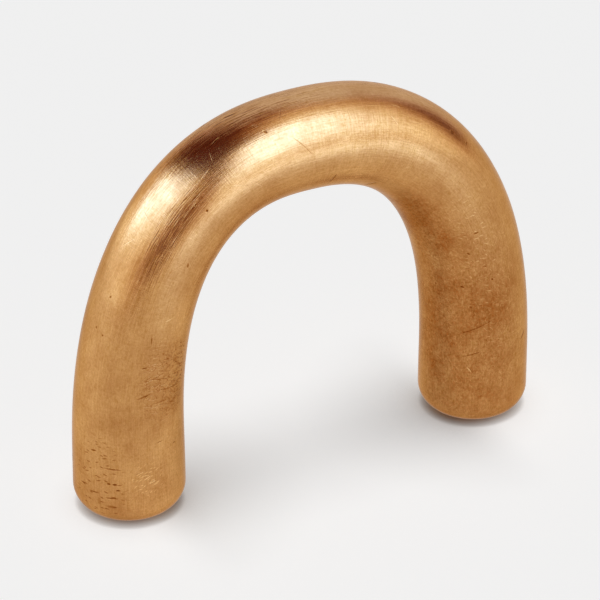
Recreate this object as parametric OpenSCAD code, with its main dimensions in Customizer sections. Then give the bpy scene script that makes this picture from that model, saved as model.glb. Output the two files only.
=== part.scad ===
// A solid brass finger pull: one round bar bent into a tall arch, thickest at its
// feet and thinnest on one shoulder, with a tapped hole up into each foot.
// Millimetres. The origin is on the panel, midway between the two screw holes;
// +X runs along the pull, -Y faces whoever uses it and +Z points off the panel.

/* [Mounting] */
// Distance between the centres of the two screw holes
hole_spacing = 32; // [30:1:96]
// Diameter of each screw hole before it is tapped, 3.3 for an M4 thread
hole_d = 3.3; // [2.5:0.1:4.2]
// Depth of each screw hole's straight wall
hole_depth = 10; // [6:0.5:14]
// Width of the bevel round the mouth of each screw hole
hole_bevel = 0.15; // [0.05:0.05:0.3]
// Angle of the point that the drill leaves at the end of each screw hole
drill_angle = 118; // [90:1:140]

/* [Bar] */
// Diameter of the bar at its feet
foot_d = 9.1; // [8:0.1:11]
// Diameter of the bar at its thinnest place
thin_d = 8.0; // [6:0.1:9]
// Where the bar is thinnest, as a share of its length from the left foot
thin_place = 0.375; // [0.3:0.005:0.7]
// Radius of the rounded edge round the bottom of each foot
foot_round = 2.0; // [0.5:0.1:2.2]

/* [Arch] */
// Height of the pull, from the panel to the top of the bar
height = 32.8; // [28:0.1:60]
// Height of the straight shank, below where the bar starts to lean in
shank_h = 5.5; // [4:0.5:10]
// How far the top of the arch stands off centre, towards the left foot
crown_shift = 0.8; // [0:0.1:3]
// Fullness of the shoulders: 2 gives half an ellipse, and more is squarer
fullness = 2.4; // [2:0.05:2.8]

/* [Smoothness] */
// Sides of the polygon that stands for the bar's round section
section_sides = 40; // [24:4:64]
// Steps from the top of one shank, over the arch, to the top of the other
arch_steps = 72; // [48:4:96]

/* [Hidden] */

$fn = 64;
cut = 1;                                 // how far a cutter reaches past the face it cuts
round_steps = 6;                         // steps in the rounded edge of a foot
shank_steps = 3;                         // steps between that edge and the top of the shank
min_foot_flat = 0.4;                     // least flat ring left between hole and rounded edge

hole_r = hole_d / 2;
point_h = hole_r / tan(drill_angle / 2); // length of the drill point
foot_r = foot_d / 2;
thin_r = thin_d / 2;
// The rounded edge never eats the flat ring that bears on the panel
edge_r = min(foot_round, foot_r - hole_r - hole_bevel - min_foot_flat);

// The bar runs thick, thin, thick along its length, and eases from one to the other.
// u is the share of the bar's length from the left foot.
function ease(w) = (1 - cos(180 * w)) / 2;
function full_r(u) = let (w = u < thin_place ? u / thin_place : (1 - u) / (1 - thin_place))
    foot_r + (thin_r - foot_r) * ease(w);

// How far the rounded edge of a foot draws the section in at height z
function edge_inset(z) = z >= edge_r ? 0 : edge_r - sqrt(edge_r ^ 2 - (edge_r - z) ^ 2);

// The bar's centre line as [x, z] points. Each shank is straight, and each half of
// the arch is a quarter of a superellipse that shares its top with the other.
crown_z = height - full_r(0.5);
arch_rise = crown_z - shank_h;
power = 2 / fullness;

function shank_line() = concat(
    [for (i = [0 : round_steps]) edge_r * (1 - cos(90 * i / round_steps))],
    [for (i = [1 : shank_steps - 1]) edge_r + (shank_h - edge_r) * i / shank_steps]
);
function arch_point(a) = let (
    side = a < 90 ? -1 : 1,
    half_w = hole_spacing / 2 + side * crown_shift
) [-crown_shift + side * half_w * abs(cos(a)) ^ power, shank_h + arch_rise * sin(a) ^ power];

shank_z = shank_line();
line = concat(
    [for (z = shank_z) [-hole_spacing / 2, z]],
    [for (i = [0 : arch_steps]) arch_point(180 * i / arch_steps)],
    [for (i = [len(shank_z) - 1 : -1 : 0]) [hole_spacing / 2, shank_z[i]]]
);
last = len(line) - 1;

// Length of the centre line up to each of its points
run = [for (i = 0, s = 0; i <= last; s = s + (i < last ? norm(line[i + 1] - line[i]) : 0), i = i + 1) s];

// Direction of the centre line at point i, upright at both feet
function heading(i) = i == 0 ? [0, 1] : i == last ? [0, -1] :
    let (d = line[i + 1] - line[i - 1]) d / norm(d);

// One round section of the bar, square to the centre line
function section(i) = let (
    t = heading(i),
    r = full_r(run[i] / run[last]) - edge_inset(line[i][1])
) [for (j = [0 : section_sides - 1]) let (a = 360 * j / section_sides)
    [line[i][0] - r * cos(a) * t[1], r * sin(a), line[i][1] + r * cos(a) * t[0]]];

// The whole bar, lofted through its sections, with a flat face under each foot
module bent_bar() {
    n = section_sides;
    points = [for (i = [0 : last]) each section(i)];
    sides = [for (i = [0 : last - 1], j = [0 : n - 1]) let (k = (j + 1) % n)
        each [[i * n + j, (i + 1) * n + j, (i + 1) * n + k], [i * n + j, (i + 1) * n + k, i * n + k]]];
    left_face = [for (j = [0 : n - 1]) j];
    right_face = [for (j = [n - 1 : -1 : 0]) last * n + j];
    polyhedron(points, concat([left_face, right_face], sides), convexity = 4);
}

// The cut of one blind hole: bevelled mouth, straight wall and drill point
module screw_hole() {
    rotate_extrude() polygon([
        [0, -cut],
        [hole_r + hole_bevel + cut, -cut],
        [hole_r, hole_bevel],
        [hole_r, hole_depth],
        [0, hole_depth + point_h]
    ]);
}

// The pull: the bent bar with a screw hole up into each foot
module pull() {
    color("#c08a4a") difference() {
        bent_bar();
        for (side = [-1, 1]) translate([side * hole_spacing / 2, 0, 0]) screw_hole();
    }
}

pull();
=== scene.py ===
import math
import bpy
import numpy as np
from mathutils import Matrix, Vector


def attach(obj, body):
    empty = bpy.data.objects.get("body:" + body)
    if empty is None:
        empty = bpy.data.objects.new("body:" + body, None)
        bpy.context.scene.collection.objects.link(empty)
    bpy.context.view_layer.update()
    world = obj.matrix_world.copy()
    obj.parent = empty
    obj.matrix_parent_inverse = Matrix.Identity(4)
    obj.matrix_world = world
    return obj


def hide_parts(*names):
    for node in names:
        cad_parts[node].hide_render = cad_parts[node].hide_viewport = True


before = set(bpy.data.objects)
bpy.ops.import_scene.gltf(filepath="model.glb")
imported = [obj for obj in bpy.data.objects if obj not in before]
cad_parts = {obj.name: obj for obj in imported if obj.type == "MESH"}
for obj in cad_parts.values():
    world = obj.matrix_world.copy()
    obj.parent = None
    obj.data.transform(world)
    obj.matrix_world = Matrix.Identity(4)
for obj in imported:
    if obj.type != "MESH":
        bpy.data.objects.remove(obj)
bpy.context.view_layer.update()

# Camera
# A long lens from the front left and above, where the left foot is the nearer one.
# Its distance and lens give the photograph's weak perspective.
MM = 0.001
CAMERA_AZIMUTH = math.radians(-28.64)
CAMERA_HEIGHT = math.radians(30)
CAMERA_DISTANCE = 306 * MM
CAMERA_TARGET = Vector((-0.4, 0, 14.2)) * MM
CAMERA_LENS = 228.5

camera_right = Vector((math.cos(CAMERA_AZIMUTH), math.sin(CAMERA_AZIMUTH), 0))
camera_back = Vector((math.sin(CAMERA_AZIMUTH) * math.cos(CAMERA_HEIGHT),
                      -math.cos(CAMERA_AZIMUTH) * math.cos(CAMERA_HEIGHT),
                      math.sin(CAMERA_HEIGHT)))
camera_up = camera_back.cross(camera_right)
lens = bpy.data.cameras.new("camera")
lens.sensor_fit = "HORIZONTAL"
lens.sensor_width = 36
lens.lens = CAMERA_LENS
lens.clip_start = 0.01
camera = bpy.data.objects.new("camera", lens)
camera.matrix_world = (Matrix.Translation(CAMERA_TARGET + camera_back * CAMERA_DISTANCE)
                       @ Matrix((camera_right, camera_up, camera_back)).transposed().to_4x4())
bpy.context.scene.collection.objects.link(camera)
bpy.context.scene.camera = camera
bpy.context.scene.view_settings.view_transform = "Standard"

# The bar
# A solid round bar of cast brass, bent into a tall arch and tapped up into each foot.
# It is lofted as one closed skin from the point of one screw hole to the point of the
# other, over the same centre line as the solid part, then filed and rubbed by hand.
HOLE_SPACING = 32 * MM
HOLE_RADIUS = 2.0 * MM
HOLE_DEPTH = 10 * MM
HOLE_POINT = 1.0 * MM
MOUTH_RADIUS = 2.05 * MM
FOOT_RADIUS = 4.55 * MM
THIN_RADIUS = 4.0 * MM
THIN_PLACE = 0.375
FOOT_ROUND = 2.0 * MM
HEIGHT = 32.8 * MM
SHANK_HEIGHT = 5.5 * MM
CROWN_SHIFT = 0.8 * MM
FULLNESS = 2.4
RING_STEP = 0.16 * MM
SIDES = 176
ROUND_STEPS = 14
ARCH_STEPS = 4000
EDGE_WEAR = 0.03 * MM
MOUTH_DEPTH = 0.4 * MM
UNEVENNESS = 0.06 * MM
UNEVEN_SIZE = 7 * MM
DENT_DEPTH = 0.06 * MM


def bar_radius(share):
    """Radius of the bar at a share of its length from the left foot."""
    part = share / THIN_PLACE if share < THIN_PLACE else (1 - share) / (1 - THIN_PLACE)
    return FOOT_RADIUS + (THIN_RADIUS - FOOT_RADIUS) * (1 - math.cos(math.pi * part)) / 2


def centre_line():
    """The bar's centre line from foot to foot as x and z, an even step apart."""
    rise = HEIGHT - bar_radius(0.5) - SHANK_HEIGHT
    half = HOLE_SPACING / 2
    x, z = [-half], [0.0]
    for i in range(ARCH_STEPS + 1):
        turn = math.pi * i / ARCH_STEPS
        side = -1 if turn < math.pi / 2 else 1
        reach = (half + side * CROWN_SHIFT) * abs(math.cos(turn)) ** (2 / FULLNESS)
        x.append(-CROWN_SHIFT + side * reach)
        z.append(SHANK_HEIGHT + rise * max(math.sin(turn), 0) ** (2 / FULLNESS))
    x.append(half)
    z.append(0.0)
    run = np.concatenate(([0], np.cumsum(np.hypot(np.diff(x), np.diff(z)))))
    first, last = FOOT_ROUND, run[-1] - FOOT_ROUND
    curve = [FOOT_ROUND * (1 - math.cos(math.pi / 2 * i / ROUND_STEPS)) for i in range(ROUND_STEPS)]
    middle = np.linspace(first, last, round((last - first) / RING_STEP))
    at = np.concatenate((curve, middle, run[-1] - np.array(curve[::-1])))
    return np.interp(at, run, x), np.interp(at, run, z), at


# A ring is its centre, the way the bar heads there, its radius and its place along the bar
line_x, line_z, line_run = centre_line()
head_x, head_z = np.gradient(line_x, line_run), np.gradient(line_z, line_run)
head_length = np.hypot(head_x, head_z)
rings = []
for x, z, hx, hz, run in zip(line_x, line_z, head_x / head_length, head_z / head_length, line_run):
    lift = min(z, FOOT_ROUND)
    inset = FOOT_ROUND - math.sqrt(max(FOOT_ROUND ** 2 - (FOOT_ROUND - lift) ** 2, 0))
    rings.append(((x, 0, z), (hx, 0, hz), bar_radius(run / line_run[-1]) - inset, run))


def hole_rings(side, run):
    """Rings of one screw hole, from its drill point out to the flat of the foot."""
    steps = [(HOLE_DEPTH + HOLE_POINT, 0), (HOLE_DEPTH, HOLE_RADIUS - EDGE_WEAR),
             (HOLE_DEPTH - EDGE_WEAR, HOLE_RADIUS), (HOLE_DEPTH / 2, HOLE_RADIUS),
             (MOUTH_DEPTH, HOLE_RADIUS), (EDGE_WEAR, MOUTH_RADIUS), (0, MOUTH_RADIUS + EDGE_WEAR)]
    return [((side * HOLE_SPACING / 2, 0, z), (0, 0, -side), radius, run) for z, radius in steps]


rings = hole_rings(-1, 0) + rings + hole_rings(1, line_run[-1])[::-1]


def add(tree, kind, links=None, **settings):
    """Add a node to a tree with its settings, and fill or link its inputs."""
    node = tree.nodes.new(kind)
    for name, value in settings.items():
        setattr(node, name, value)
    for key, value in (links or {}).items():
        if isinstance(value, bpy.types.NodeSocket):
            tree.links.new(value, node.inputs[key])
        else:
            node.inputs[key].default_value = value
    return node


def placed_marks(tree, place, marks, wider):
    """Draw marks as soft ovals on the unrolled bar, and return how deep they are at each place.

    Each mark is drawn longer and broader than it is written by the amount wider, in mm.
    """
    deep = 0.0
    for along, degrees, length, width, lean, depth in marks:
        centre = (along, math.radians(degrees) * MEAN_RADIUS, 0)
        off = add(tree, "ShaderNodeVectorMath", {0: place, 1: centre}, operation="SUBTRACT").outputs[0]
        cosine, sine = math.cos(math.radians(lean)), math.sin(math.radians(lean))
        length, width = (length + wider) / 2, (width + wider) / 2
        down = add(tree, "ShaderNodeVectorMath", {0: off, 1: (cosine / length, sine / length, 0)},
                   operation="DOT_PRODUCT").outputs["Value"]
        over = add(tree, "ShaderNodeVectorMath", {0: off, 1: (-sine / width, cosine / width, 0)},
                   operation="DOT_PRODUCT").outputs["Value"]
        down = add(tree, "ShaderNodeMath", {0: down, 1: down}, operation="MULTIPLY").outputs[0]
        apart = add(tree, "ShaderNodeMath", {0: over, 1: over, 2: down}, operation="MULTIPLY_ADD").outputs[0]
        mark = add(tree, "ShaderNodeMapRange",
                   {"Value": apart, "From Min": 1.0, "From Max": 0.1, "To Max": depth},
                   interpolation_type="SMOOTHSTEP", clamp=False).outputs[0]
        deep = add(tree, "ShaderNodeMath", {0: mark, 1: deep}, operation="ADD").outputs[0]
    return deep


# The deepest dents and gouges. Each has its place along the bar in mm and its turn round it in
# degrees from its outer side, its length and width in mm, its lean in degrees from the bar's
# length, and its depth as a share of the deepest. Its soft edge widens it by DENT_SPREAD.
MEAN_RADIUS = 4.2
DENT_SPREAD = 0.12
DENTS = (
    # three gouges on the left shoulder and a notch on top
    (32.5, 8, 1.0, 0.22, -20, 1.0), (30.3, 2.5, 0.9, 0.16, -6, 0.7), (30.8, -16.5, 1.25, 0.18, 16, 0.8),
    (43.4, 11, 0.8, 0.34, 30, 0.9),
    # a ring left by a blow on the right shoulder, and a bruise at the far side of the right leg
    (48.4, -40.5, 0.5, 0.42, 0, 0.5), (67.7, -56, 1.0, 0.2, -51, 0.8),
    # a file groove and a nick on the left leg
    (12.0, -78.5, 1.5, 0.2, -67, 0.6), (4.2, -49.5, 0.45, 0.22, -90, 0.8))


def loft_tree():
    """Geometry nodes that skin the rings of a rail with round sections."""
    tree = bpy.data.node_groups.new("loft_round_bar", "GeometryNodeTree")
    face = tree.interface
    face.new_socket(name="Rail", in_out="INPUT", socket_type="NodeSocketGeometry")
    face.new_socket(name="Sides", in_out="INPUT", socket_type="NodeSocketInt")
    face.new_socket(name="Unevenness", in_out="INPUT", socket_type="NodeSocketFloat")
    face.new_socket(name="Uneven size", in_out="INPUT", socket_type="NodeSocketFloat")
    face.new_socket(name="Seed", in_out="INPUT", socket_type="NodeSocketFloat")
    face.new_socket(name="Dent depth", in_out="INPUT", socket_type="NodeSocketFloat")
    face.new_socket(name="Material", in_out="INPUT", socket_type="NodeSocketMaterial")
    face.new_socket(name="Bar", in_out="OUTPUT", socket_type="NodeSocketGeometry")
    given = add(tree, "NodeGroupInput").outputs
    rail = given["Rail"]

    columns = add(tree, "ShaderNodeMath", {0: given["Sides"], 1: 1.0}, operation="ADD").outputs[0]
    size = add(tree, "GeometryNodeAttributeDomainSize", {0: rail}, component="MESH")
    grid = add(tree, "GeometryNodeMeshGrid",
               {"Vertices X": size.outputs["Point Count"], "Vertices Y": columns})
    index = add(tree, "GeometryNodeInputIndex").outputs[0]
    row = add(tree, "ShaderNodeMath", {0: index, 1: columns}, operation="DIVIDE").outputs[0]
    row = add(tree, "ShaderNodeMath", {0: row}, operation="FLOOR").outputs[0]
    column = add(tree, "ShaderNodeMath", {0: index, 1: columns}, operation="MODULO").outputs[0]
    share = add(tree, "ShaderNodeMath", {0: column, 1: given["Sides"]}, operation="DIVIDE").outputs[0]
    angle = add(tree, "ShaderNodeMath", {0: share, 1: 2 * math.pi}, operation="MULTIPLY").outputs[0]
    cosine = add(tree, "ShaderNodeMath", {0: angle}, operation="COSINE").outputs[0]
    sine = add(tree, "ShaderNodeMath", {0: angle}, operation="SINE").outputs[0]

    def from_rail(name, kind):
        """Read one value of the rail at the row's own ring."""
        value = add(tree, "GeometryNodeInputNamedAttribute", {"Name": name}, data_type=kind)
        pick = add(tree, "GeometryNodeSampleIndex",
                   {"Geometry": rail, "Value": value.outputs["Attribute"], "Index": row},
                   data_type=kind, domain="POINT")
        return pick.outputs[0]

    centre, heading = from_rail("position", "FLOAT_VECTOR"), from_rail("heading", "FLOAT_VECTOR")
    radius, run = from_rail("radius", "FLOAT"), from_rail("run", "FLOAT")
    outward = add(tree, "ShaderNodeVectorMath", {0: heading, 1: (0, 1, 0)},
                  operation="CROSS_PRODUCT").outputs[0]
    out = add(tree, "ShaderNodeVectorMath", {0: outward, "Scale": cosine}, operation="SCALE").outputs[0]
    back = add(tree, "ShaderNodeVectorMath", {0: (0, 1, 0), "Scale": sine}, operation="SCALE").outputs[0]
    spoke = add(tree, "ShaderNodeVectorMath", {0: out, 1: back}, operation="ADD").outputs[0]
    arm = add(tree, "ShaderNodeVectorMath", {0: spoke, "Scale": radius}, operation="SCALE").outputs[0]
    place = add(tree, "ShaderNodeVectorMath", {0: centre, 1: arm}, operation="ADD").outputs[0]
    skin = add(tree, "GeometryNodeSetPosition", {"Geometry": grid.outputs["Mesh"], "Position": place})

    # Where a point lies on the bar as if it were straight: along it, and round its axis
    side_y = add(tree, "ShaderNodeMath", {0: cosine, 1: radius}, operation="MULTIPLY").outputs[0]
    side_z = add(tree, "ShaderNodeMath", {0: sine, 1: radius}, operation="MULTIPLY").outputs[0]
    straight = add(tree, "ShaderNodeCombineXYZ", {"X": run, "Y": side_y, "Z": side_z}).outputs[0]
    skin = add(tree, "GeometryNodeStoreNamedAttribute",
               {"Geometry": skin.outputs[0], "Name": "straight", "Value": straight},
               data_type="FLOAT_VECTOR", domain="POINT")
    closed = add(tree, "GeometryNodeMergeByDistance", {"Geometry": skin.outputs[0], "Distance": 1e-6})

    # Filing by hand takes a little off the bar here and there, up to three quarters of
    # Unevenness, and leaves the feet flat
    scale = add(tree, "ShaderNodeMath", {0: 1.0, 1: given["Uneven size"]}, operation="DIVIDE").outputs[0]
    spot = add(tree, "GeometryNodeInputPosition").outputs[0]
    noise = add(tree, "ShaderNodeTexNoise",
                {"Vector": spot, "W": given["Seed"], "Scale": scale, "Detail": 1.0, "Roughness": 0.4},
                noise_dimensions="4D").outputs[0]
    swing = add(tree, "ShaderNodeMath", {0: noise, 1: 0.75}, operation="SUBTRACT").outputs[0]
    swing = add(tree, "ShaderNodeMath", {0: swing, 1: given["Unevenness"]}, operation="MULTIPLY").outputs[0]
    rise = add(tree, "ShaderNodeSeparateXYZ", {0: spot}).outputs["Z"]
    off_foot = add(tree, "ShaderNodeMapRange", {"Value": rise, "From Max": 1 * MM}).outputs[0]
    swing = add(tree, "ShaderNodeMath", {0: swing, 1: off_foot}, operation="MULTIPLY").outputs[0]

    # Blows and files have left dents in it
    turn = add(tree, "ShaderNodeMath", {0: side_z, 1: side_y}, operation="ARCTAN2").outputs[0]
    turn = add(tree, "ShaderNodeMath", {0: turn, 1: MEAN_RADIUS}, operation="MULTIPLY").outputs[0]
    run_mm = add(tree, "ShaderNodeMath", {0: run, 1: 1 / MM}, operation="MULTIPLY").outputs[0]
    unrolled = add(tree, "ShaderNodeCombineXYZ", {"X": run_mm, "Y": turn}).outputs[0]
    deep = placed_marks(tree, unrolled, DENTS, wider=DENT_SPREAD)
    deep = add(tree, "ShaderNodeMath", {0: deep, 1: given["Dent depth"]}, operation="MULTIPLY").outputs[0]
    swing = add(tree, "ShaderNodeMath", {0: swing, 1: deep}, operation="SUBTRACT").outputs[0]
    normal = add(tree, "GeometryNodeInputNormal").outputs[0]
    push = add(tree, "ShaderNodeVectorMath", {0: normal, "Scale": swing}, operation="SCALE").outputs[0]
    worked = add(tree, "GeometryNodeSetPosition", {"Geometry": closed.outputs[0], "Offset": push})

    smooth = add(tree, "GeometryNodeSetShadeSmooth", {"Geometry": worked.outputs[0]})
    real = add(tree, "GeometryNodeRealizeInstances", {0: smooth.outputs[0]})
    done = add(tree, "GeometryNodeSetMaterial", {"Geometry": real.outputs[0], "Material": given["Material"]})
    add(tree, "NodeGroupOutput", {"Bar": done.outputs[0]})
    return tree


def linear(code):
    """A colour written as an sRGB hex code, in linear light with full alpha."""
    parts = [int(code[i:i + 2], 16) / 255 for i in (1, 3, 5)]
    return tuple(v / 12.92 if v <= 0.04045 else ((v + 0.055) / 1.055) ** 2.4 for v in parts) + (1.0,)


# Cast brass, left bare and rubbed by hand with abrasive paper, which gives a warm satin metal
# with fine lines in it, more orange where it has tarnished. The lines are drawn a few times
# coarser than the grit leaves them, so that they show.
brass = bpy.data.materials.new("hand_rubbed_brass")
brass.use_nodes = True
skin = brass.node_tree
metal = skin.nodes["Principled BSDF"]
metal.inputs["Metallic"].default_value = 1
metal.inputs["Specular Tint"].default_value = linear("#EBD6C0")

# Places on the bar in millimetres, as if it were straight: along it, and across from its axis
where = add(skin, "ShaderNodeAttribute", attribute_name="straight").outputs["Vector"]
where = add(skin, "ShaderNodeVectorMath", {0: where, "Scale": 1 / MM}, operation="SCALE").outputs[0]

# The same places unrolled flat: along the bar, and round it from its outer side, on its mean
# radius. The seam lies at the back of the inner side, a turn of 120 degrees.
SEAM_TURN = math.radians(60)
turned = add(skin, "ShaderNodeVectorRotate", {"Vector": where, "Angle": SEAM_TURN},
             rotation_type="X_AXIS").outputs[0]
place = add(skin, "ShaderNodeSeparateXYZ", {0: turned}).outputs
turn = add(skin, "ShaderNodeMath", {0: place["Z"], 1: place["Y"]}, operation="ARCTAN2").outputs[0]
turn = add(skin, "ShaderNodeMath", {0: turn, 1: SEAM_TURN}, operation="SUBTRACT").outputs[0]
turn = add(skin, "ShaderNodeMath", {0: turn, 1: MEAN_RADIUS}, operation="MULTIPLY").outputs[0]
unrolled = add(skin, "ShaderNodeCombineXYZ", {"X": place["X"], "Y": turn}).outputs[0]

# Patches of the surface that were worked in their own way, each an oval: its place along the
# bar in mm, its turn in degrees, and how far it reaches each way
patch = {}
for name, along, degrees, reach, reach_degrees in (
        ("right_leg", 65.5, -134, 14, 98),
        ("shoulder", 54, -152, 10, 46),
        ("streaked", 32, 0, 9, 38),
        ("lined", 24.5, -50, 8, 22),
        ("sanded", 41.5, -82, 8, 60),
        ("swirled", 61, -120, 14, 75),
        ("chatter", 3.4, -30, 6.5, 42),
        ("hatched", 14.2, -122, 3.4, 20),
        ("rough", 13.0, -104, 5.0, 42),
        ("flecked", 4.5, -84, 2.0, 24)):
    centre = (along, math.radians(degrees) * MEAN_RADIUS, 0)
    off = add(skin, "ShaderNodeVectorMath", {0: unrolled, 1: centre}, operation="SUBTRACT").outputs[0]
    size = (reach, math.radians(reach_degrees) * MEAN_RADIUS, 1)
    off = add(skin, "ShaderNodeVectorMath", {0: off, 1: size}, operation="DIVIDE").outputs[0]
    off = add(skin, "ShaderNodeVectorMath", {0: off}, operation="LENGTH").outputs["Value"]
    patch[name] = add(skin, "ShaderNodeMapRange", {"Value": off, "From Min": 1.0, "From Max": 0.4},
                      interpolation_type="SMOOTHSTEP", clamp=False).outputs[0]
patch["right_leg"] = add(skin, "ShaderNodeMath", {0: patch["right_leg"], 1: patch["shoulder"]},
                         operation="MAXIMUM").outputs[0]


def nick_tree():
    """Shader nodes that scatter short straight nicks over a flat place, one to a cell."""
    tree = bpy.data.node_groups.new("scattered_nicks", "ShaderNodeTree")
    face = tree.interface
    face.new_socket(name="Place", in_out="INPUT", socket_type="NodeSocketVector")
    for name in ("Spacing", "Length", "Width", "Lean", "Spread", "Share"):
        face.new_socket(name=name, in_out="INPUT", socket_type="NodeSocketFloat")
    face.new_socket(name="Nick", in_out="OUTPUT", socket_type="NodeSocketFloat")
    given = add(tree, "NodeGroupInput").outputs
    scale = add(tree, "ShaderNodeMath", {0: 1.0, 1: given["Spacing"]}, operation="DIVIDE").outputs[0]
    cell = add(tree, "ShaderNodeTexVoronoi", {"Vector": given["Place"], "Scale": scale, "Randomness": 0.85},
               voronoi_dimensions="2D").outputs
    chance = add(tree, "ShaderNodeSeparateColor", {0: cell["Color"]}).outputs
    off = add(tree, "ShaderNodeVectorMath", {0: given["Place"], 1: cell["Position"]},
              operation="SUBTRACT").outputs[0]
    lean = add(tree, "ShaderNodeMath", {0: chance["Red"], 1: 0.5}, operation="SUBTRACT").outputs[0]
    lean = add(tree, "ShaderNodeMath", {0: lean, 1: given["Spread"], 2: given["Lean"]},
               operation="MULTIPLY_ADD").outputs[0]
    lean = add(tree, "ShaderNodeMath", {0: 0.0, 1: lean}, operation="SUBTRACT").outputs[0]
    off = add(tree, "ShaderNodeVectorRotate", {"Vector": off, "Angle": lean},
              rotation_type="Z_AXIS").outputs[0]
    half = add(tree, "ShaderNodeMath", {0: chance["Green"], 1: 0.5, 2: 0.5},
               operation="MULTIPLY_ADD").outputs[0]
    half = add(tree, "ShaderNodeMath", {0: half, 1: given["Length"]}, operation="MULTIPLY").outputs[0]
    size = add(tree, "ShaderNodeCombineXYZ", {"X": half, "Y": given["Width"], "Z": 1.0}).outputs[0]
    off = add(tree, "ShaderNodeVectorMath", {0: off, 1: size}, operation="DIVIDE").outputs[0]
    off = add(tree, "ShaderNodeVectorMath", {0: off, "Scale": 2.0}, operation="SCALE").outputs[0]
    off = add(tree, "ShaderNodeVectorMath", {0: off}, operation="LENGTH").outputs["Value"]
    nick = add(tree, "ShaderNodeMapRange", {"Value": off, "From Min": 1.0, "From Max": 0.2},
               interpolation_type="SMOOTHSTEP", clamp=False).outputs[0]
    kept = add(tree, "ShaderNodeMath", {0: chance["Blue"], 1: given["Share"]},
               operation="LESS_THAN").outputs[0]
    nick = add(tree, "ShaderNodeMath", {0: nick, 1: kept}, operation="MULTIPLY").outputs[0]
    add(tree, "NodeGroupOutput", {"Nick": nick})
    return tree


# Nicks scattered by the shop's files and by use: how many times longer than wide their cells
# are, spacing, length and width in mm, the way they lean in degrees, its spread, and the
# share of places that have one
nicks = nick_tree()
nick = {}
for name, cells, spacing, length, width, lean, spread, share in (
        ("scuffs", 1, 2.6, 2.2, 0.10, 40, 300, 0.55),
        ("streaks", 7, 0.20, 2.3, 0.10, 0, 45, 0.85),
        ("strokes", 1, 0.55, 0.75, 0.10, 35, 110, 0.85),
        ("dashes", 1, 0.55, 0.60, 0.13, 90, 40, 0.6),
        ("flecks", 1, 0.34, 0.50, 0.10, -62, 40, 0.7),
        ("hatches", 1, 0.46, 0.55, 0.16, 75, 60, 0.85),
        ("breaks", 1, 0.60, 0.90, 0.22, 85, 150, 0.70)):
    short = add(skin, "ShaderNodeVectorMath", {0: unrolled, 1: (1 / cells, 1, 1)},
                operation="MULTIPLY").outputs[0]
    nick[name] = add(skin, "ShaderNodeGroup",
                     {"Place": short, "Spacing": spacing, "Length": length / cells, "Width": width,
                      "Lean": math.radians(lean), "Spread": math.radians(spread), "Share": share},
                     node_tree=nicks).outputs[0]

# Marks that stand out by themselves, written as the dents are. A depth below nothing is a
# bright scratch, which stands up in the old dark skin.
marks = placed_marks(skin, unrolled, DENTS + (
    # pits and scratches on the left shoulder
    (33.6, -37, 0.42, 0.2, -54, 0.7), (27.4, -70, 0.26, 0.26, 0, 1.0), (35.8, -67, 2.8, 0.10, -56, 0.35),
    (27.2, -56, 0.24, 0.18, 30, 0.8), (23.2, -89, 0.5, 0.2, 20, 0.7), (29.0, -40, 0.9, 0.10, 14, -0.35),
    # a bruise inside the arch and dark spots on the right shoulder
    (38.6, -121, 1.3, 0.2, 70, 0.8), (56.0, -98, 0.62, 0.2, 80, 0.9), (49.9, -41, 0.5, 0.16, 80, 0.7),
    (57.7, -113, 0.4, 0.2, 35, 0.7), (61.0, -94.5, 0.26, 0.2, 20, 1.0), (61.0, -158, 0.3, 0.22, 0, 0.6),
    (61.1, -127.5, 0.45, 0.2, 60, 0.8), (63.3, -121.5, 0.3, 0.22, 0, 0.8), (59.5, -100, 0.4, 0.16, 60, 0.6),
    # scores across the right leg, one of them bright
    (65.5, -118, 3.5, 0.13, 114, 0.5), (68.1, -123, 1.9, 0.13, 110, 0.55), (69.6, -125, 0.9, 0.13, 37, -0.7),
    # file marks and spots on the left leg
    (18.9, -20, 0.26, 0.2, 0, 0.8), (16.1, -23, 0.24, 0.2, 0, 0.8), (16.4, -12, 0.24, 0.2, 0, 0.7),
    (16.7, -77.5, 1.0, 0.13, -171, 0.6), (14.4, -75, 0.55, 0.16, -74, 0.8), (12.4, -110, 3.6, 0.12, 90, 0.45),
    (13.4, -92, 2.2, 0.12, 84, 0.45), (11.3, -96, 1.8, 0.12, 96, 0.4), (6.9, -26, 0.6, 0.2, -80, 0.9),
    (7.0, -118, 0.4, 0.16, 90, 0.6), (7.7, -97.5, 0.6, 0.15, -84, 0.7),
    # dashes low on its outer side, and the bright strokes beside them
    (4.2, -43, 0.36, 0.2, -90, 1.0), (5.6, -46, 1.3, 0.15, -90, 0.8), (2.9, -46, 1.2, 0.15, -86, 0.9),
    (3.1, -26, 1.1, 0.16, -84, 0.8), (3.7, -53, 0.4, 0.16, -90, 0.8), (3.5, -12, 1.0, 0.15, -84, 0.7),
    (2.1, -45, 1.0, 0.3, -88, 0.4), (2.4, -32, 0.8, 0.4, 0, 0.35),
    (5.2, -75, 0.7, 0.12, -66, -0.6), (4.9, -79, 0.8, 0.12, -76, -0.5), (4.7, -83, 0.7, 0.12, -60, -0.6),
    (4.2, -88, 0.8, 0.12, -72, -0.6), (4.0, -93, 0.6, 0.12, -60, -0.5)), wider=0)

# Tarnish in soft clouds of about 5 mm, mottling in patches of about 1.5 mm and a fine grain
clouds = add(skin, "ShaderNodeTexNoise", {"Vector": where, "Scale": 1 / 5.0, "Detail": 3.0,
                                          "Roughness": 0.55}).outputs[0]
mottle = add(skin, "ShaderNodeTexNoise", {"Vector": where, "Scale": 1 / 1.5, "Detail": 5.0,
                                          "Roughness": 0.62}).outputs[0]
grain = add(skin, "ShaderNodeTexNoise", {"Vector": where, "Scale": 1 / 0.2, "Detail": 3.0,
                                         "Roughness": 0.6}).outputs[0]

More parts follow.
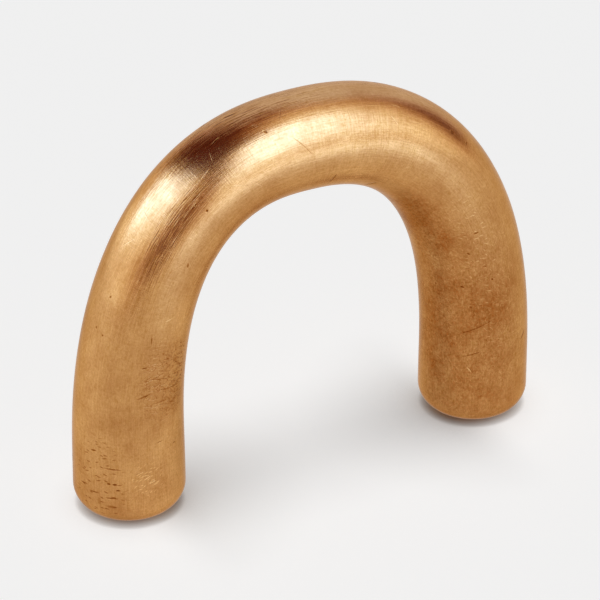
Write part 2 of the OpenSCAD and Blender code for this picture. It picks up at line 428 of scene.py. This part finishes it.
# Wisps that the rubbing left in the tarnish, each about 0.25 mm wide and 0.4 mm long
stretch = add(skin, "ShaderNodeVectorMath", {0: where, 1: (1 / 0.4, 1 / 0.25, 1 / 0.25)},
              operation="MULTIPLY").outputs[0]
wisps = add(skin, "ShaderNodeTexNoise", {"Vector": stretch, "Scale": 1.0, "Detail": 3.0, "Roughness": 0.6,
                                         "Distortion": 1.1}).outputs[0]

# Wrinkles in the old skin, about 0.12 mm wide, drawn where a noise crosses its middle
stretch = add(skin, "ShaderNodeVectorMath", {0: where, 1: (1 / 0.5, 1 / 1.0, 1 / 1.0)},
              operation="MULTIPLY").outputs[0]
wrinkles = add(skin, "ShaderNodeTexNoise", {"Vector": stretch, "Scale": 1.0, "Detail": 2.0, "Roughness": 0.6,
                                            "Distortion": 0.7}).outputs[0]
wrinkles = add(skin, "ShaderNodeMath", {0: wrinkles, 1: 0.5}, operation="SUBTRACT").outputs[0]
wrinkles = add(skin, "ShaderNodeMath", {0: wrinkles}, operation="ABSOLUTE").outputs[0]
wrinkles = add(skin, "ShaderNodeMapRange", {"Value": wrinkles, "From Min": 0.05, "From Max": 0.0},
               interpolation_type="SMOOTHSTEP").outputs[0]

# Lines of the abrasive: along the bar, and round it, each about 0.1 mm wide
stretch = add(skin, "ShaderNodeVectorMath", {0: where, 1: (1 / 2.6, 1 / 0.1, 1 / 0.1)},
              operation="MULTIPLY").outputs[0]
lines_along = add(skin, "ShaderNodeTexNoise",
                  {"Vector": stretch, "Scale": 1.0, "Detail": 2.0, "Roughness": 0.7,
                   "Distortion": 0.2}).outputs[0]
stretch = add(skin, "ShaderNodeVectorMath", {0: where, 1: (1 / 0.1, 1 / 2.0, 1 / 2.0)},
              operation="MULTIPLY").outputs[0]
lines_round = add(skin, "ShaderNodeTexNoise",
                  {"Vector": stretch, "Scale": 1.0, "Detail": 2.0, "Roughness": 0.7,
                   "Distortion": 0.2}).outputs[0]

# How strongly each layer shows: everywhere, and in its own patch, then how it is used for the
# tarnish, for the tone of the metal and for the height of the surface in mm. A noise is
# centred on nothing first.
tarnish = add(skin, "ShaderNodeMath", {0: clouds, 1: 0.26}, operation="SUBTRACT").outputs[0]
tone = 0.0
height = 0.0
for source, patch_name, everywhere, in_patch, tarnishes, tones, rises in (
        (mottle, "right_leg", 0.4, 0.2, 1.0, -0.20, 0.004),
        (wisps, "right_leg", 0.5, 0.6, 0.7, -0.40, 0.005),
        (grain, "right_leg", 1.2, 1.0, 0.4, 0.75, 0.003),
        (lines_along, "streaked", 0.9, 1.2, 0.3, 0.75, 0.010),
        (lines_along, "lined", 0.0, 1.1, 0.3, 0.75, 0.010),
        (lines_round, "sanded", 0.5, 0.9, 0.3, 0.65, 0.010),
        (nick["scuffs"], "right_leg", 1.0, 0.0, 0.0, 0.10, -0.006),
        (nick["streaks"], "streaked", 0.10, 1.3, 0.3, -0.17, -0.006),
        (nick["streaks"], "lined", 0.0, 1.0, 0.1, -0.16, -0.005),
        (nick["flecks"], "flecked", 0.0, 1.0, -0.4, 0.30, 0.006),
        (nick["strokes"], "swirled", 0.15, 1.1, -0.1, 0.15, 0.007),
        (nick["dashes"], "chatter", 0.0, 1.0, 0.6, -0.35, -0.008),
        (nick["hatches"], "hatched", 0.0, 1.0, 0.3, -0.20, -0.012),
        (nick["breaks"], "rough", 0.0, 0.5, 0.4, -0.06, -0.010),
        (wrinkles, "rough", 0.0, 1.0, 0.3, -0.12, -0.012),
        (wrinkles, "right_leg", 0.0, 0.35, 0.3, -0.12, -0.012),
        (marks, "right_leg", 1.0, 0.0, 0.5, -0.50, -0.020)):
    middle = 0.5 if source in (mottle, wisps, grain, lines_along, lines_round) else 0.0
    swing = add(skin, "ShaderNodeMath", {0: source, 1: middle}, operation="SUBTRACT").outputs[0]
    share = add(skin, "ShaderNodeMath", {0: patch[patch_name], 1: in_patch, 2: everywhere},
                operation="MULTIPLY_ADD").outputs[0]
    swing = add(skin, "ShaderNodeMath", {0: swing, 1: share}, operation="MULTIPLY").outputs[0]
    tarnish = add(skin, "ShaderNodeMath", {0: swing, 1: tarnishes, 2: tarnish},
                  operation="MULTIPLY_ADD").outputs[0]
    tone = add(skin, "ShaderNodeMath", {0: swing, 1: tones, 2: tone}, operation="MULTIPLY_ADD").outputs[0]
    height = add(skin, "ShaderNodeMath", {0: swing, 1: rises * MM, 2: height},
                 operation="MULTIPLY_ADD").outputs[0]

# Three patches are more tarnished than the rest
for patch_name, extra in (("right_leg", 0.45), ("chatter", 0.16), ("rough", 0.2)):
    tarnish = add(skin, "ShaderNodeMath", {0: patch[patch_name], 1: extra, 2: tarnish},
                  operation="MULTIPLY_ADD").outputs[0]
colour = add(skin, "ShaderNodeMix", {"Factor": tarnish, "A": linear("#D5A062"), "B": linear("#9C5923")},
             data_type="RGBA").outputs["Result"]

# A darker tone is also a redder one, as on any worn brass
shade = add(skin, "ShaderNodeVectorMath", {0: (0.7, 1.0, 1.6), "Scale": tone}, operation="SCALE").outputs[0]
shade = add(skin, "ShaderNodeVectorMath", {0: shade, 1: (1, 1, 1)}, operation="ADD").outputs[0]
colour = add(skin, "ShaderNodeVectorMath", {0: colour, 1: shade}, operation="MULTIPLY").outputs[0]
skin.links.new(colour, metal.inputs["Base Color"])

# Rubbed lines and mottling leave the satin uneven, and long strokes of a fine file left it
# smoother on the streaked shoulder
roughness = add(skin, "ShaderNodeMapRange", {"Value": mottle, "From Min": 0.25, "From Max": 0.75,
                                             "To Min": 0.21, "To Max": 0.25}).outputs[0]
roughness = add(skin, "ShaderNodeMath", {0: patch["streaked"], 1: -0.06, 2: roughness},
                operation="MULTIPLY_ADD").outputs[0]
skin.links.new(roughness, metal.inputs["Roughness"])

# Heights are in metres, so the bump is as deep as the marks it stands for
relief = add(skin, "ShaderNodeBump", {"Height": height, "Strength": 1.0, "Distance": 1.0}).outputs[0]
skin.links.new(relief, metal.inputs["Normal"])


def plain_mesh(holder, name, material):
    """Turn an object's evaluated nodes into a plain mesh object of one material."""
    ready = holder.evaluated_get(bpy.context.evaluated_depsgraph_get())
    mesh = bpy.data.meshes.new_from_object(ready)
    mesh.name = name
    mesh.materials.clear()
    mesh.materials.append(material)
    mesh.polygons.foreach_set("material_index", [0] * len(mesh.polygons))
    piece = bpy.data.objects.new(name, mesh)
    bpy.context.scene.collection.objects.link(piece)
    bpy.data.objects.remove(holder)
    return piece


rail_mesh = bpy.data.meshes.new("rail")
rail_mesh.from_pydata([ring[0] for ring in rings], [], [])
for name, kind, field, values in (
        ("heading", "FLOAT_VECTOR", "vector", [v for ring in rings for v in ring[1]]),
        ("radius", "FLOAT", "value", [ring[2] for ring in rings]),
        ("run", "FLOAT", "value", [ring[3] for ring in rings])):
    rail_mesh.attributes.new(name, kind, "POINT").data.foreach_set(field, values)
rail = bpy.data.objects.new("rail", rail_mesh)
bpy.context.scene.collection.objects.link(rail)
loft = rail.modifiers.new("loft", "NODES")
loft.node_group = loft_tree()
sockets = {item.name: item.identifier for item in loft.node_group.interface.items_tree
           if item.in_out == "INPUT"}
loft[sockets["Sides"]] = SIDES
loft[sockets["Unevenness"]] = UNEVENNESS
loft[sockets["Uneven size"]] = UNEVEN_SIZE
loft[sockets["Seed"]] = 3.0
loft[sockets["Dent depth"]] = DENT_DEPTH
loft[sockets["Material"]] = brass
bar = plain_mesh(rail, "bent_bar", brass)
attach(bar, "root")
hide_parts("pull")

# Screw threads
# An M4 thread in each screw hole, cut up into the brass by hand with a tap. It is a ridge that
# winds up the wall of the hole at 0.7 mm a turn and dies away at both ends.
THREAD_PITCH = 0.7 * MM
THREAD_START = 0.4 * MM
THREAD_END = 9.3 * MM
THREAD_BASE = 2.02 * MM
THREAD_CREST = 1.65 * MM
THREAD_BASE_WIDTH = 0.52 * MM
THREAD_CREST_WIDTH = 0.08 * MM
THREAD_FADE_TURNS = 0.6
THREAD_STEPS = 620


def thread_tree():
    """Geometry nodes that wind a tapering ridge up each of two holes."""
    tree = bpy.data.node_groups.new("wind_threads", "GeometryNodeTree")
    face = tree.interface
    for name in ("Turns", "Pitch", "Start", "Base radius", "Crest radius", "Base width", "Crest width",
                 "Spacing"):
        face.new_socket(name=name, in_out="INPUT", socket_type="NodeSocketFloat")
    face.new_socket(name="Steps", in_out="INPUT", socket_type="NodeSocketInt")
    face.new_socket(name="Material", in_out="INPUT", socket_type="NodeSocketMaterial")
    face.new_socket(name="Threads", in_out="OUTPUT", socket_type="NodeSocketGeometry")
    given = add(tree, "NodeGroupInput").outputs

    # Four corners to a section, and a fifth that closes it on the first
    rows = add(tree, "ShaderNodeMath", {0: given["Steps"], 1: 1.0}, operation="ADD").outputs[0]
    grid = add(tree, "GeometryNodeMeshGrid", {"Vertices X": rows, "Vertices Y": 5})
    index = add(tree, "GeometryNodeInputIndex").outputs[0]
    corner = add(tree, "ShaderNodeMath", {0: index, 1: 5.0}, operation="MODULO").outputs[0]
    step = add(tree, "ShaderNodeMath", {0: index, 1: 5.0}, operation="DIVIDE").outputs[0]
    step = add(tree, "ShaderNodeMath", {0: step}, operation="FLOOR").outputs[0]
    share = add(tree, "ShaderNodeMath", {0: step, 1: given["Steps"]}, operation="DIVIDE").outputs[0]
    turned = add(tree, "ShaderNodeMath", {0: share, 1: given["Turns"]}, operation="MULTIPLY").outputs[0]
    left = add(tree, "ShaderNodeMath", {0: given["Turns"], 1: turned}, operation="SUBTRACT").outputs[0]
    taper = add(tree, "ShaderNodeMath", {0: turned, 1: left}, operation="MINIMUM").outputs[0]
    taper = add(tree, "ShaderNodeMapRange", {"Value": taper, "From Max": THREAD_FADE_TURNS}).outputs[0]
    at_crest = add(tree, "ShaderNodeMath", {0: corner, 1: 1.5, 2: 0.7}, operation="COMPARE").outputs[0]
    at_top = add(tree, "ShaderNodeMath", {0: corner, 1: 2.5, 2: 0.7}, operation="COMPARE").outputs[0]

    width = add(tree, "ShaderNodeMapRange", {"Value": at_crest, "To Min": given["Base width"],
                                             "To Max": given["Crest width"]}).outputs[0]
    side = add(tree, "ShaderNodeMath", {0: at_top, 1: 0.5}, operation="SUBTRACT").outputs[0]
    lift = add(tree, "ShaderNodeMath", {0: width, 1: side}, operation="MULTIPLY").outputs[0]
    lift = add(tree, "ShaderNodeMath", {0: lift, 1: taper, 2: given["Start"]},
               operation="MULTIPLY_ADD").outputs[0]
    lift = add(tree, "ShaderNodeMath", {0: turned, 1: given["Pitch"], 2: lift},
               operation="MULTIPLY_ADD").outputs[0]
    reach = add(tree, "ShaderNodeMath", {0: at_crest, 1: taper}, operation="MULTIPLY").outputs[0]
    radius = add(tree, "ShaderNodeMapRange", {"Value": reach, "To Min": given["Base radius"],
                                              "To Max": given["Crest radius"]}).outputs[0]
    angle = add(tree, "ShaderNodeMath", {0: turned, 1: 2 * math.pi}, operation="MULTIPLY").outputs[0]
    spoke = add(tree, "ShaderNodeCombineXYZ", {"X": radius}).outputs[0]
    spoke = add(tree, "ShaderNodeVectorRotate", {"Vector": spoke, "Angle": angle},
                rotation_type="Z_AXIS").outputs[0]
    raised = add(tree, "ShaderNodeCombineXYZ", {"Z": lift}).outputs[0]
    place = add(tree, "ShaderNodeVectorMath", {0: spoke, 1: raised}, operation="ADD").outputs[0]
    ridge = add(tree, "GeometryNodeSetPosition", {"Geometry": grid.outputs["Mesh"], "Position": place})
    ridge = add(tree, "GeometryNodeMergeByDistance", {"Geometry": ridge.outputs[0], "Distance": 1e-7})

    half = add(tree, "ShaderNodeMath", {0: given["Spacing"], 1: -0.5}, operation="MULTIPLY").outputs[0]
    first = add(tree, "ShaderNodeCombineXYZ", {"X": half}).outputs[0]
    apart = add(tree, "ShaderNodeCombineXYZ", {"X": given["Spacing"]}).outputs[0]
    holes = add(tree, "GeometryNodeMeshLine", {"Count": 2, "Start Location": first, "Offset": apart})
    both = add(tree, "GeometryNodeInstanceOnPoints",
               {"Points": holes.outputs[0], "Instance": ridge.outputs[0]})
    real = add(tree, "GeometryNodeRealizeInstances", {0: both.outputs[0]})
    facing = add(tree, "GeometryNodeFlipFaces", {0: real.outputs[0]})
    done = add(tree, "GeometryNodeSetMaterial",
               {"Geometry": facing.outputs[0], "Material": given["Material"]})
    add(tree, "NodeGroupOutput", {"Threads": done.outputs[0]})
    return tree


# Brass freshly cut by the tap, which leaves it brighter and yellower than the old skin and
# streaked round, with stains where cutting oil dried in the roots
cut_brass = bpy.data.materials.new("tapped_brass")
cut_brass.use_nodes = True
thread = cut_brass.node_tree
metal = thread.nodes["Principled BSDF"]
metal.inputs["Metallic"].default_value = 1
metal.inputs["Roughness"].default_value = 0.3
spot = add(thread, "ShaderNodeTexCoord").outputs["Object"]
spot = add(thread, "ShaderNodeVectorMath", {0: spot, 1: (1 / MM, 1 / MM, 6 / MM)},
           operation="MULTIPLY").outputs[0]
stain = add(thread, "ShaderNodeTexNoise", {"Vector": spot, "Scale": 1 / 1.2, "Detail": 3.0}).outputs[0]
stain = add(thread, "ShaderNodeMapRange", {"Value": stain, "From Min": 0.45, "From Max": 0.75}).outputs[0]
colour = add(thread, "ShaderNodeMix", {"Factor": stain, "A": linear("#DDB26E"), "B": linear("#9A6A35")},
             data_type="RGBA").outputs["Result"]
thread.links.new(colour, metal.inputs["Base Color"])

holder = bpy.data.objects.new("threads", bpy.data.meshes.new("threads"))
bpy.context.scene.collection.objects.link(holder)
winding = holder.modifiers.new("winding", "NODES")
winding.node_group = thread_tree()
sockets = {item.name: item.identifier for item in winding.node_group.interface.items_tree
           if item.in_out == "INPUT"}
winding[sockets["Turns"]] = (THREAD_END - THREAD_START) / THREAD_PITCH
winding[sockets["Pitch"]] = THREAD_PITCH
winding[sockets["Start"]] = THREAD_START
winding[sockets["Base radius"]] = THREAD_BASE
winding[sockets["Crest radius"]] = THREAD_CREST
winding[sockets["Base width"]] = THREAD_BASE_WIDTH
winding[sockets["Crest width"]] = THREAD_CREST_WIDTH
winding[sockets["Spacing"]] = HOLE_SPACING
winding[sockets["Steps"]] = THREAD_STEPS
winding[sockets["Material"]] = cut_brass
threads = plain_mesh(holder, "screw_threads", cut_brass)
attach(threads, "root")

# Floor
# A wide sheet of pale matt paper that the pull stands on, which takes its shadow. Its own glow
# is for the camera and for reflections. What the camera sees of it has painted shade close to a
# foot, and a painted shadow between the two feet.
FLOOR_REACH = 1.5
PAPER_GLOW = 0.672
PAINTED_CONTACT_SHADE_REACH = 0.8 * MM
PAINTED_SHADOW_REACH = 11 * MM
PAINTED_SHADOW_START = 17 * MM
PAINTED_SHADOW_FULL = 12 * MM
floor_mesh = bpy.data.meshes.new("floor")
floor_mesh.from_pydata([(-FLOOR_REACH, -FLOOR_REACH, 0), (FLOOR_REACH, -FLOOR_REACH, 0),
                        (FLOOR_REACH, FLOOR_REACH, 0), (-FLOOR_REACH, FLOOR_REACH, 0)], [], [(0, 1, 2, 3)])
floor = bpy.data.objects.new("floor", floor_mesh)
bpy.context.scene.collection.objects.link(floor)
paper = bpy.data.materials.new("pale_paper")
paper.use_nodes = True
sheet = paper.node_tree
sheet.nodes.clear()
lit = add(sheet, "ShaderNodeBsdfDiffuse", {"Color": linear("#B4B4B4")}).outputs[0]
rays = add(sheet, "ShaderNodeLightPath").outputs
mirrored = add(sheet, "ShaderNodeMath", {0: rays["Is Glossy Ray"], 1: rays["Is Transmission Ray"]},
               operation="MAXIMUM").outputs[0]
# Painted contact shade: the glow darkens where the floor is hidden close to a foot
painted_contact_shade = add(sheet, "ShaderNodeAmbientOcclusion", {"Distance": PAINTED_CONTACT_SHADE_REACH}, samples=16).outputs["AO"]
painted_contact_shade = add(sheet, "ShaderNodeMath", {0: painted_contact_shade, 1: 0.9}, operation="POWER").outputs[0]
spot = add(sheet, "ShaderNodeTexCoord").outputs["Object"]
beside = add(sheet, "ShaderNodeSeparateXYZ", {0: spot}).outputs["X"]
beside = add(sheet, "ShaderNodeMath", {0: beside}, operation="ABSOLUTE").outputs[0]
# Painted shadow between the two feet: the glow darkens where the bar hides the floor, only in a band between
# the feet
painted_shadow_band = add(sheet, "ShaderNodeMapRange",
              {"Value": beside, "From Min": PAINTED_SHADOW_START, "From Max": PAINTED_SHADOW_FULL},
              interpolation_type="SMOOTHSTEP").outputs[0]
painted_shadow_occlusion = add(sheet, "ShaderNodeAmbientOcclusion", {"Distance": PAINTED_SHADOW_REACH}, samples=8).outputs["AO"]
shade = add(sheet, "ShaderNodeMath", {0: 1.0, 1: painted_shadow_occlusion}, operation="SUBTRACT").outputs[0]
shade = add(sheet, "ShaderNodeMath", {0: shade, 1: painted_shadow_band}, operation="MULTIPLY").outputs[0]
open_share = add(sheet, "ShaderNodeMath", {0: 1.0, 1: shade}, operation="SUBTRACT").outputs[0]
# The painted shade and shadow are for the camera only; reflections see the full glow
level = add(sheet, "ShaderNodeMath", {0: painted_contact_shade, 1: open_share}, operation="MULTIPLY").outputs[0]
level = add(sheet, "ShaderNodeMath", {0: level, 1: rays["Is Camera Ray"], 2: mirrored},
            operation="MULTIPLY_ADD").outputs[0]
level = add(sheet, "ShaderNodeMath", {0: level, 1: PAPER_GLOW}, operation="MULTIPLY").outputs[0]
white = add(sheet, "ShaderNodeVectorMath", {0: (1.0, 1.0, 1.0), "Scale": level},
            operation="SCALE").outputs[0]

# In reflections the paper's glow has a painted pool of light towards each of the two panels,
# which stand on it: the right one out in front, and the left one beside the left foot. Each has
# its azimuth and how far it spreads to either side in degrees, where it starts and is full in mm,
# and its light.
for azimuth, spread, near, far, light in (
        (18, (34, 10), 15, 170, (1.0, 1.7, 3.2)),
        (-112, (44, 10), 16, 44, (0.11, 0.14, 0.17))):
    a = math.radians(azimuth)
    out = add(sheet, "ShaderNodeVectorMath", {0: spot, 1: (math.sin(a), -math.cos(a), 0)},
              operation="DOT_PRODUCT").outputs["Value"]
    aside = add(sheet, "ShaderNodeVectorMath", {0: spot, 1: (math.cos(a), math.sin(a), 0)},
                operation="DOT_PRODUCT").outputs["Value"]
    aside = add(sheet, "ShaderNodeMath", {0: aside}, operation="ABSOLUTE").outputs[0]
    aside = add(sheet, "ShaderNodeMath", {0: aside, 1: out}, operation="ARCTAN2").outputs[0]
    facing = add(sheet, "ShaderNodeMapRange", {"Value": aside, "From Min": math.radians(spread[0]),
                                               "From Max": math.radians(spread[1])},
                 interpolation_type="SMOOTHSTEP").outputs[0]
    painted_light_pool = add(sheet, "ShaderNodeMapRange", {"Value": out, "From Min": near * MM, "From Max": far * MM,
                                              "To Max": facing}, interpolation_type="SMOOTHSTEP").outputs[0]
    painted_light_pool = add(sheet, "ShaderNodeMath", {0: painted_light_pool, 1: rays["Is Glossy Ray"]},
                operation="MULTIPLY").outputs[0]
    painted_light_pool = add(sheet, "ShaderNodeVectorMath", {0: light, "Scale": painted_light_pool}, operation="SCALE").outputs[0]
    white = add(sheet, "ShaderNodeVectorMath", {0: white, 1: painted_light_pool}, operation="ADD").outputs[0]
glow = add(sheet, "ShaderNodeEmission", {"Color": white, "Strength": 1.0}).outputs[0]
both = add(sheet, "ShaderNodeAddShader", {0: lit, 1: glow}).outputs[0]
add(sheet, "ShaderNodeOutputMaterial", {"Surface": both})
floor_mesh.materials.append(paper)

# Studio
# Two soft panels light the pull: a wide one high on the left and a tall one at the front
# right, each with weaker light round it. The rest of the room is dark, above a pale horizon
# and in front of a pale backdrop. A broad lamp overhead is for the floor and its shadow.
LAMP_ANGLE = math.radians(25)
LAMP_LIGHT = 1.35
HORIZON_TOP = math.radians(6)
HORIZON_FULL = math.radians(-2)
HORIZON_LIGHT = 0.95
ROOM_LIGHT = 0.03
BACKDROP_AZIMUTH = math.radians(145)
BACKDROP_SIDE = math.radians(48)
BACKDROP_SIDE_FULL = math.radians(18)
BACKDROP_TOP = math.radians(69)
BACKDROP_TOP_FULL = math.radians(53)
BACKDROP_LIGHT = 1.03

overhead = bpy.data.lights.new("overhead", "SUN")
overhead.angle = LAMP_ANGLE
overhead.energy = LAMP_LIGHT
overhead_holder = bpy.data.objects.new("overhead", overhead)
overhead_holder.visible_glossy = False
bpy.context.scene.collection.objects.link(overhead_holder)

world = bpy.data.worlds.new("studio")
world.use_nodes = True
bpy.context.scene.world = world
world.cycles_visibility.diffuse = False
sky = world.node_tree
way = add(sky, "ShaderNodeTexCoord").outputs["Generated"]
part = add(sky, "ShaderNodeSeparateXYZ", {0: way}).outputs
horizon = add(sky, "ShaderNodeMapRange",
              {"Value": part["Z"], "From Min": math.sin(HORIZON_TOP),
               "From Max": math.sin(HORIZON_FULL)}, interpolation_type="SMOOTHSTEP").outputs[0]
flat = add(sky, "ShaderNodeCombineXYZ", {"X": part["X"], "Y": part["Y"]}).outputs[0]
flat = add(sky, "ShaderNodeVectorMath", {0: flat}, operation="NORMALIZE").outputs[0]
behind = (math.sin(BACKDROP_AZIMUTH), -math.cos(BACKDROP_AZIMUTH), 0)
facing = add(sky, "ShaderNodeVectorMath", {0: flat, 1: behind}, operation="DOT_PRODUCT").outputs["Value"]
wide = add(sky, "ShaderNodeMapRange",
           {"Value": facing, "From Min": math.cos(BACKDROP_SIDE), "From Max": math.cos(BACKDROP_SIDE_FULL)},
           interpolation_type="SMOOTHSTEP").outputs[0]
tall = add(sky, "ShaderNodeMapRange",
           {"Value": part["Z"], "From Min": math.sin(BACKDROP_TOP),
            "From Max": math.sin(BACKDROP_TOP_FULL)}, interpolation_type="SMOOTHSTEP").outputs[0]
drop = add(sky, "ShaderNodeMath", {0: wide, 1: tall}, operation="MULTIPLY").outputs[0]
drop = add(sky, "ShaderNodeMath", {0: drop, 1: BACKDROP_LIGHT}, operation="MULTIPLY").outputs[0]
room = add(sky, "ShaderNodeMapRange",
           {"Value": horizon, "To Min": ROOM_LIGHT, "To Max": HORIZON_LIGHT}).outputs[0]
room = add(sky, "ShaderNodeMath", {0: room, 1: drop}, operation="MAXIMUM").outputs[0]

# The two panels, and the weaker light beside and below them. Each has its middle as azimuth and
# height, its reach to the left, right, down and up with how softly each side ends, all in
# degrees, and its light.
for azimuth, height, left, right, down, up, light in (
        (-82, 43, (54, 18), (24, 52), (13, 26), (8.5, 10), 4.45),
        (20, 29, (20, 20), (20, 40), (20, 50), (36, 13), 4.05),
        (-3, 14, (16, 16), (12, 24), (16, 20), (14, 14), 0.55),
        (57, 40, (13, 20), (24, 34), (52, 58), (39, 40), 1.45),
        (-106, 23, (66, 22), (35, 60), (60, 26), (6, 6), 1.32)):
    a, e = math.radians(azimuth), math.radians(height)
    away = Vector((math.sin(a) * math.cos(e), -math.cos(a) * math.cos(e), math.sin(e)))
    across = Vector((math.cos(a), math.sin(a), 0))
    ahead = add(sky, "ShaderNodeVectorMath", {0: way, 1: away}, operation="DOT_PRODUCT").outputs["Value"]
    aside = add(sky, "ShaderNodeVectorMath", {0: way, 1: across}, operation="DOT_PRODUCT").outputs["Value"]
    aside = add(sky, "ShaderNodeMath", {0: aside, 1: ahead}, operation="ARCTAN2").outputs[0]
    above = add(sky, "ShaderNodeVectorMath", {0: way, 1: away.cross(across)}, operation="DOT_PRODUCT")
    above = add(sky, "ShaderNodeMath", {0: above.outputs["Value"]}, operation="ARCSINE").outputs[0]
    level = 1.0
    for angle, side, (reach, soft) in ((aside, -1, left), (aside, 1, right),
                                       (above, -1, down), (above, 1, up)):
        level = add(sky, "ShaderNodeMapRange",
                    {"Value": angle, "From Min": side * math.radians(reach + soft / 2),
                     "From Max": side * math.radians(reach - soft / 2), "To Max": level},
                    interpolation_type="SMOOTHSTEP").outputs[0]
    room = add(sky, "ShaderNodeMath", {0: level, 1: light, 2: room}, operation="MULTIPLY_ADD").outputs[0]

# The light is redder where it is dim and bluer where it is bright, which gives the brass its
# brown darks and cream highlights. The backdrop is a little cooler than the rest.
red = add(sky, "ShaderNodeMath", {0: room, 1: 0.6}, operation="POWER").outputs[0]
red = add(sky, "ShaderNodeMath", {0: red, 1: 1.04}, operation="MULTIPLY").outputs[0]
red = add(sky, "ShaderNodeMath", {0: drop, 1: -0.17, 2: red}, operation="MULTIPLY_ADD").outputs[0]
blue = add(sky, "ShaderNodeMath", {0: room, 1: 0.37, 2: 0.6}, operation="MULTIPLY_ADD").outputs[0]
blue = add(sky, "ShaderNodeMath", {0: blue, 1: 2.3}, operation="MINIMUM").outputs[0]
blue = add(sky, "ShaderNodeMath", {0: blue, 1: room}, operation="MULTIPLY").outputs[0]
blue = add(sky, "ShaderNodeMath", {0: drop, 1: 0.5, 2: blue}, operation="MULTIPLY_ADD").outputs[0]
room = add(sky, "ShaderNodeCombineXYZ", {"X": red, "Y": room, "Z": blue}).outputs[0]
seen = add(sky, "ShaderNodeLightPath").outputs["Is Camera Ray"]
shown = add(sky, "ShaderNodeMix", {"Factor": seen, "A": room, "B": linear("#F3F2F1")},
            data_type="RGBA").outputs["Result"]
sky.links.new(shown, sky.nodes["Background"].inputs["Color"])
